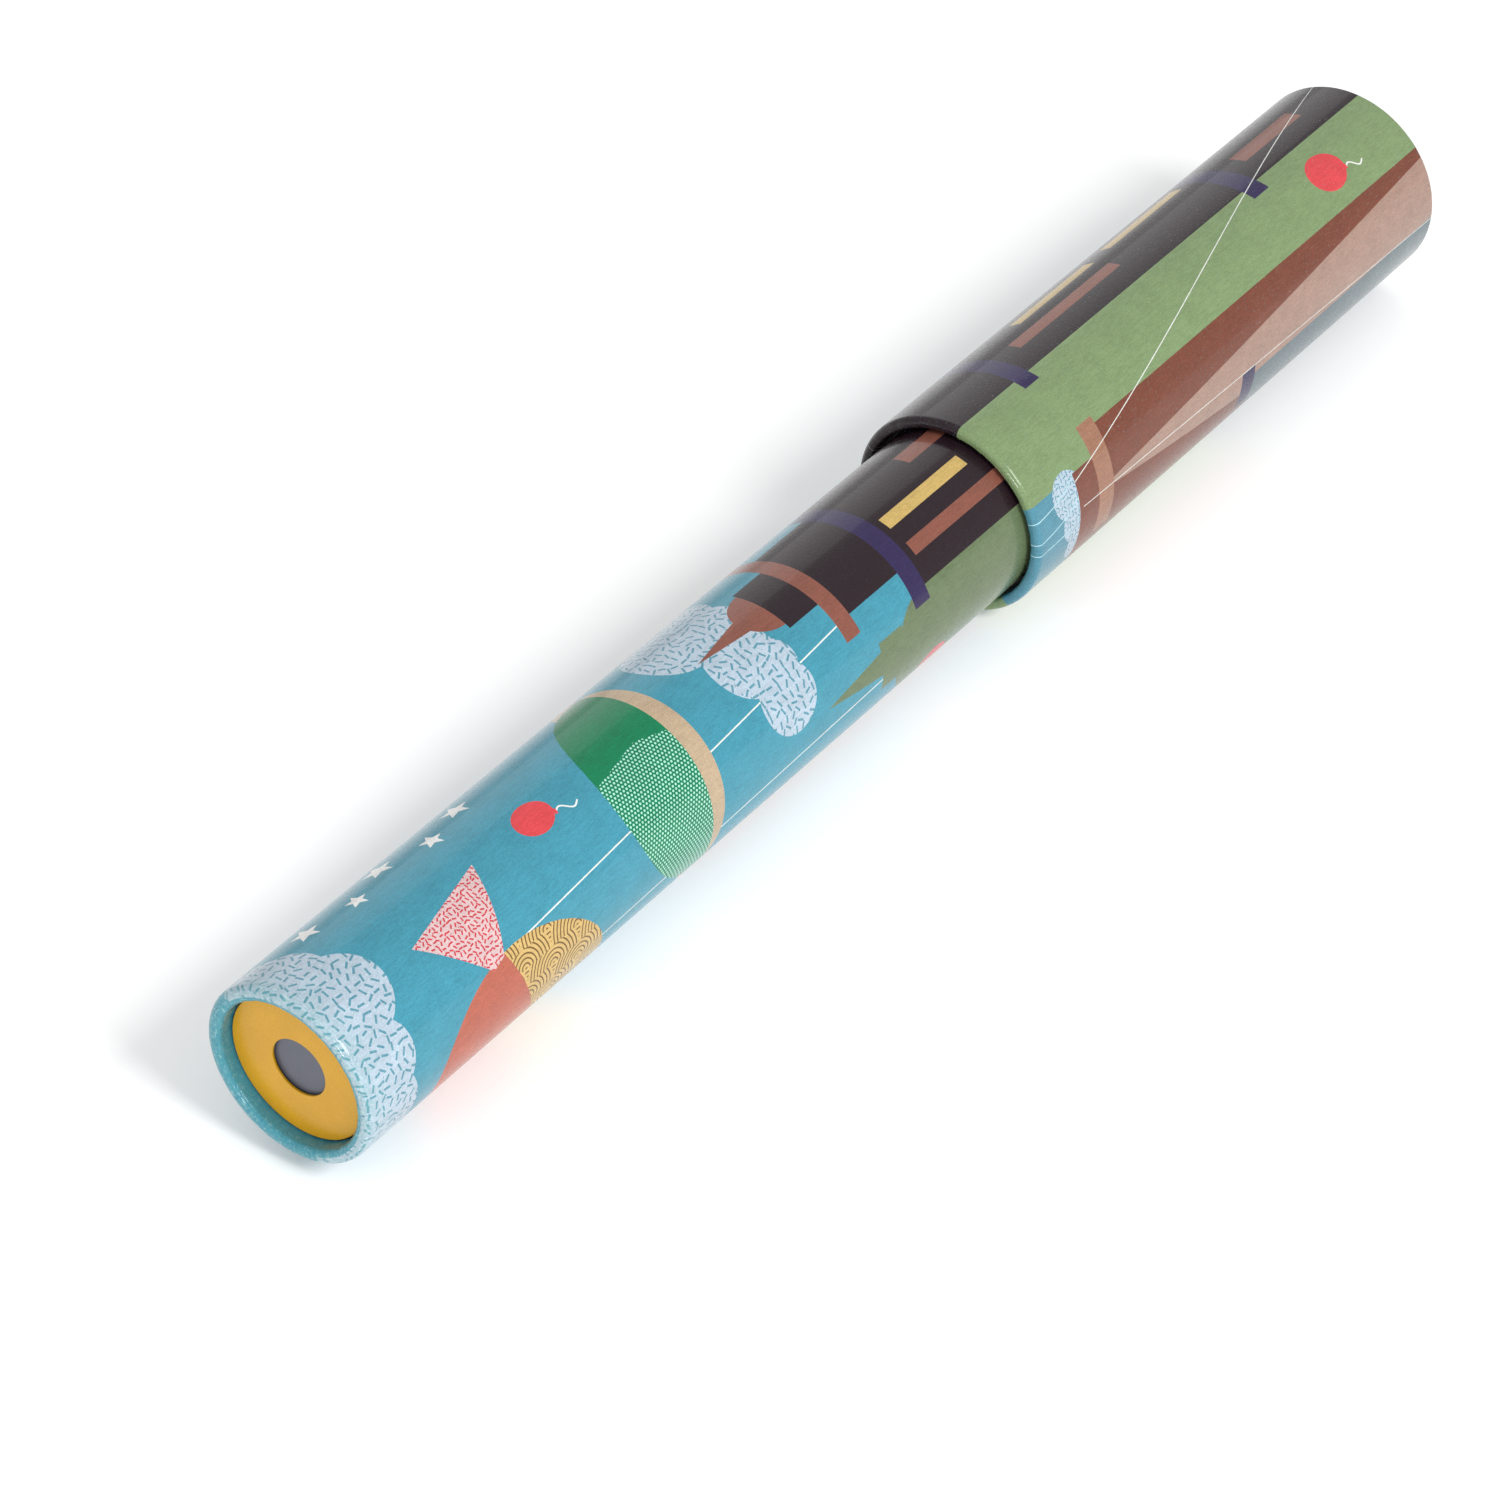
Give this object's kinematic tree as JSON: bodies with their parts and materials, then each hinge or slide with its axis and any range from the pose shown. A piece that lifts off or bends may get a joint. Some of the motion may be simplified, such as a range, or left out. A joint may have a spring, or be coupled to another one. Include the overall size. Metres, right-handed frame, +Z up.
{
  "type": "telescoping kaleidoscope",
  "caption": "Card kaleidoscope: a viewing tube with a recessed eyepiece, and a larger sleeve with an object chamber that slides and turns on it.",
  "frame": {"origin": "on the floor below the middle of the pulled-out kaleidoscope, which lies on its sleeve", "axes": "+X along the tube from the eyepiece to the object end, +Z up"},
  "size_m": [0.38, 0.047, 0.047],
  "materials": {
    "tube_print": "printed and gloss laminated",
    "sleeve_print": "printed and gloss laminated",
    "card": "bare wound greyboard",
    "packing": "corrugated",
    "ochre_plastic": "smooth gloss",
    "eye_window": "tinted clear, dark behind",
    "clear_plastic": "clear",
    "diffuser": "frosted",
    "mirror": "silvered",
    "felt": "felt",
    "chip_red": "translucent gloss",
    "chip_yellow": "translucent gloss",
    "chip_blue": "translucent gloss",
    "chip_green": "translucent gloss",
    "chip_violet": "translucent gloss"
  },
  "bodies": {
    "viewing_tube": {"tube_print": "tube_print", "tube_core": "card", "eyepiece_disc": "ochre_plastic", "eye_window": "eye_window", "eye_washer": "card", "mirror_front_support": "card", "mirror_rear_support": "card", "mirror_1": "mirror", "mirror_2": "mirror", "mirror_3": "mirror", "packing_strip_1": "packing", "packing_strip_2": "packing", "packing_strip_3": "packing", "tube_end_window": "clear_plastic", "stop_collar": "card"},
    "slip_ring": {"slip_ring": "felt"},
    "sleeve": {"sleeve_print": "sleeve_print", "sleeve_core": "card", "slip_ring_keeper": "card", "chamber_seat_ring": "card", "chamber_window": "clear_plastic", "chamber_spacer": "card", "diffuser": "diffuser", "object_end_ring": "ochre_plastic"},
    "chips": {"red_triangle_chip": "chip_red", "blue_disc_chip": "chip_blue", "yellow_square_chip": "chip_yellow", "green_hexagon_chip": "chip_green", "violet_disc_chip": "chip_violet", "yellow_triangle_chip": "chip_yellow", "red_disc_chip": "chip_red", "blue_square_chip": "chip_blue", "green_triangle_chip": "chip_green", "violet_hexagon_chip": "chip_violet", "green_disc_chip": "chip_green", "red_pentagon_chip": "chip_red", "violet_square_chip": "chip_violet", "blue_triangle_chip": "chip_blue", "yellow_disc_chip": "chip_yellow"}
  },
  "joints": [
    {"name": "sleeve_slide", "type": "slide", "parent": "viewing_tube", "child": "slip_ring", "axis": [1, 0, 0], "range_m": [-0.129, 0.0007]},
    {"name": "sleeve_turn", "type": "hinge", "parent": "slip_ring", "child": "sleeve", "pos_m": [0.028, 0, 0.0235], "axis": [1, 0, 0], "continuous": true},
    {"name": "chips_tumble", "type": "hinge", "parent": "sleeve", "child": "chips", "pos_m": [0.182, 0, 0.0235], "axis": [1, 0, 0], "continuous": true}
  ]
}
